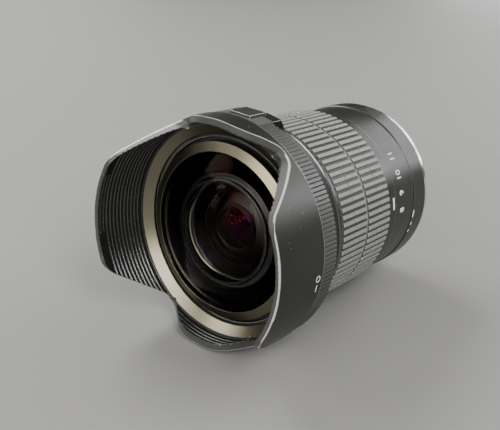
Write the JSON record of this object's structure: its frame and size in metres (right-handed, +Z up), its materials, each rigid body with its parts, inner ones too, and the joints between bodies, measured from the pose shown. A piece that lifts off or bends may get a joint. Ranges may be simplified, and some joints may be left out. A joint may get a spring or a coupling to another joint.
{
  "type": "wide-angle zoom camera lens",
  "caption": "Round wide-angle zoom lens lying on its side, with a petal hood, a domed front glass, ribbed rubber zoom and focus rings and a bayonet mount.",
  "frame": {"origin": "centre of the camera mount's seating face", "axes": "+Y along the optical axis out of the mount towards the camera, -Y towards the front glass, +Z up"},
  "size_m": [0.0826, 0.1133, 0.0835],
  "materials": {
    "mount_metal": "bright plated mount metal, lightly turned",
    "black_metal": "satin black anodised barrel metal",
    "cell_metal": "matt black anodised cell",
    "satin_bronze": "satin champagne anodised ring",
    "hood_plastic": "fine-grained black moulded plastic",
    "button_plastic": "smooth black moulded plastic",
    "grip_rubber": "dark grey moulded rubber with worn crests",
    "cam_brass": "machined brass",
    "roller_plastic": "white acetal roller",
    "optical_glass": "coated optical glass",
    "contact_plastic": "black moulded contact block",
    "contact_gold": "gold plated contact",
    "screw_steel": "steel screw",
    "board_green": "circuit board with solder mask",
    "blade_black": "dull black blade steel",
    "motor_metal": "bare motor metal"
  },
  "bodies": {
    "barrel": {"bayonet_mount": "mount_metal", "mount_screws": "screw_steel", "contact_block": "contact_plastic", "contact_pins": "contact_gold", "rear_baffle": "contact_plastic", "rear_cell": "cell_metal", "rear_element": "optical_glass", "rear_cover": "black_metal", "scale_barrel": "black_metal", "index_ring": "black_metal", "guide_tube": "cell_metal", "main_board": "board_green", "middle_ring": "cell_metal", "iris_housing": "cell_metal", "iris_cover": "cell_metal", "front_barrel": "black_metal", "motor_stator": "motor_metal", "front_cell": "cell_metal", "front_element": "optical_glass", "second_element": "optical_glass", "third_element": "optical_glass", "front_bezel": "satin_bronze"},
    "zoom": {"zoom_ring": "black_metal", "zoom_grip": "grip_rubber", "zoom_cam_tube": "cam_brass", "zoom_ring_screws": "screw_steel"},
    "focus": {"focus_ring": "black_metal", "focus_grip": "grip_rubber", "focus_cam_tube": "cam_brass", "focus_ring_screws": "screw_steel", "motor_rotor": "motor_metal"},
    "zoom_group": {"zoom_cell": "cell_metal", "zoom_retainer": "cell_metal", "zoom_rollers": "roller_plastic", "zoom_element": "optical_glass"},
    "focus_group": {"focus_cell": "cell_metal", "focus_retainer": "cell_metal", "focus_rollers": "roller_plastic", "focus_element": "optical_glass"},
    "iris_ring": {"iris_drive_ring": "blade_black"},
    "hood": {"petal_hood": "hood_plastic"},
    "button": {"hood_button": "button_plastic"},
    "blade_1": {"iris_blade_1": "blade_black"},
    "blade_2": {"iris_blade_2": "blade_black"},
    "blade_3": {"iris_blade_3": "blade_black"},
    "blade_4": {"iris_blade_4": "blade_black"},
    "blade_5": {"iris_blade_5": "blade_black"},
    "blade_6": {"iris_blade_6": "blade_black"},
    "blade_7": {"iris_blade_7": "blade_black"}
  },
  "joints": [
    {"name": "zoom_turn", "type": "hinge", "parent": "barrel", "child": "zoom", "pos_m": [0, -0.0395, 0], "axis": [0, -1, 0], "range_deg": [0, 60]},
    {"name": "focus_turn", "type": "hinge", "parent": "barrel", "child": "focus", "pos_m": [0, -0.0555, 0], "axis": [0, -1, 0], "range_deg": [0, 90]},
    {"name": "zoom_group_slide", "type": "slide", "parent": "barrel", "child": "zoom_group", "axis": [0, -1, 0], "range_m": [0, 0.01]},
    {"name": "focus_group_slide", "type": "slide", "parent": "barrel", "child": "focus_group", "axis": [0, -1, 0], "range_m": [0, 0.004]},
    {"name": "iris_turn", "type": "hinge", "parent": "barrel", "child": "iris_ring", "pos_m": [0, -0.0495, 0], "axis": [0, -1, 0], "range_deg": [0, 20]},
    {"name": "hood_twist", "type": "hinge", "parent": "barrel", "child": "hood", "pos_m": [0, -0.085, 0], "axis": [0, 1, 0], "range_deg": [0, 60]},
    {"name": "hood_button_press", "type": "slide", "parent": "hood", "child": "button", "axis": [-0.0541, 0, -0.9985], "range_m": [0, 0.001], "stiffness_N_per_m": 400, "springref_m": -0.002},
    {"name": "iris_blade_1_pivot", "type": "hinge", "parent": "barrel", "child": "blade_1", "pos_m": [0.0128, -0.0475, 0], "axis": [0, -1, 0], "range_deg": [0, 30]},
    {"name": "iris_blade_2_pivot", "type": "hinge", "parent": "barrel", "child": "blade_2", "pos_m": [0.00798, -0.0475, 0.01001], "axis": [0, -1, 0], "range_deg": [0, 30]},
    {"name": "iris_blade_3_pivot", "type": "hinge", "parent": "barrel", "child": "blade_3", "pos_m": [-0.00285, -0.0475, 0.01248], "axis": [0, -1, 0], "range_deg": [0, 30]},
    {"name": "iris_blade_4_pivot", "type": "hinge", "parent": "barrel", "child": "blade_4", "pos_m": [-0.01153, -0.0475, 0.00555], "axis": [0, -1, 0], "range_deg": [0, 30]},
    {"name": "iris_blade_5_pivot", "type": "hinge", "parent": "barrel", "child": "blade_5", "pos_m": [-0.01153, -0.0475, -0.00555], "axis": [0, -1, 0], "range_deg": [0, 30]},
    {"name": "iris_blade_6_pivot", "type": "hinge", "parent": "barrel", "child": "blade_6", "pos_m": [-0.00285, -0.0475, -0.01248], "axis": [0, -1, 0], "range_deg": [0, 30]},
    {"name": "iris_blade_7_pivot", "type": "hinge", "parent": "barrel", "child": "blade_7", "pos_m": [0.00798, -0.0475, -0.01001], "axis": [0, -1, 0], "range_deg": [0, 30]}
  ],
  "couplings": [
    {"joint": "zoom_group_slide", "follows": "zoom_turn", "m_per_rad": 0.0095493},
    {"joint": "focus_group_slide", "follows": "focus_turn", "m_per_rad": 0.0025465},
    {"joint": "iris_blade_1_pivot", "follows": "iris_turn", "ratio": 1.5},
    {"joint": "iris_blade_2_pivot", "follows": "iris_turn", "ratio": 1.5},
    {"joint": "iris_blade_3_pivot", "follows": "iris_turn", "ratio": 1.5},
    {"joint": "iris_blade_4_pivot", "follows": "iris_turn", "ratio": 1.5},
    {"joint": "iris_blade_5_pivot", "follows": "iris_turn", "ratio": 1.5},
    {"joint": "iris_blade_6_pivot", "follows": "iris_turn", "ratio": 1.5},
    {"joint": "iris_blade_7_pivot", "follows": "iris_turn", "ratio": 1.5}
  ]
}
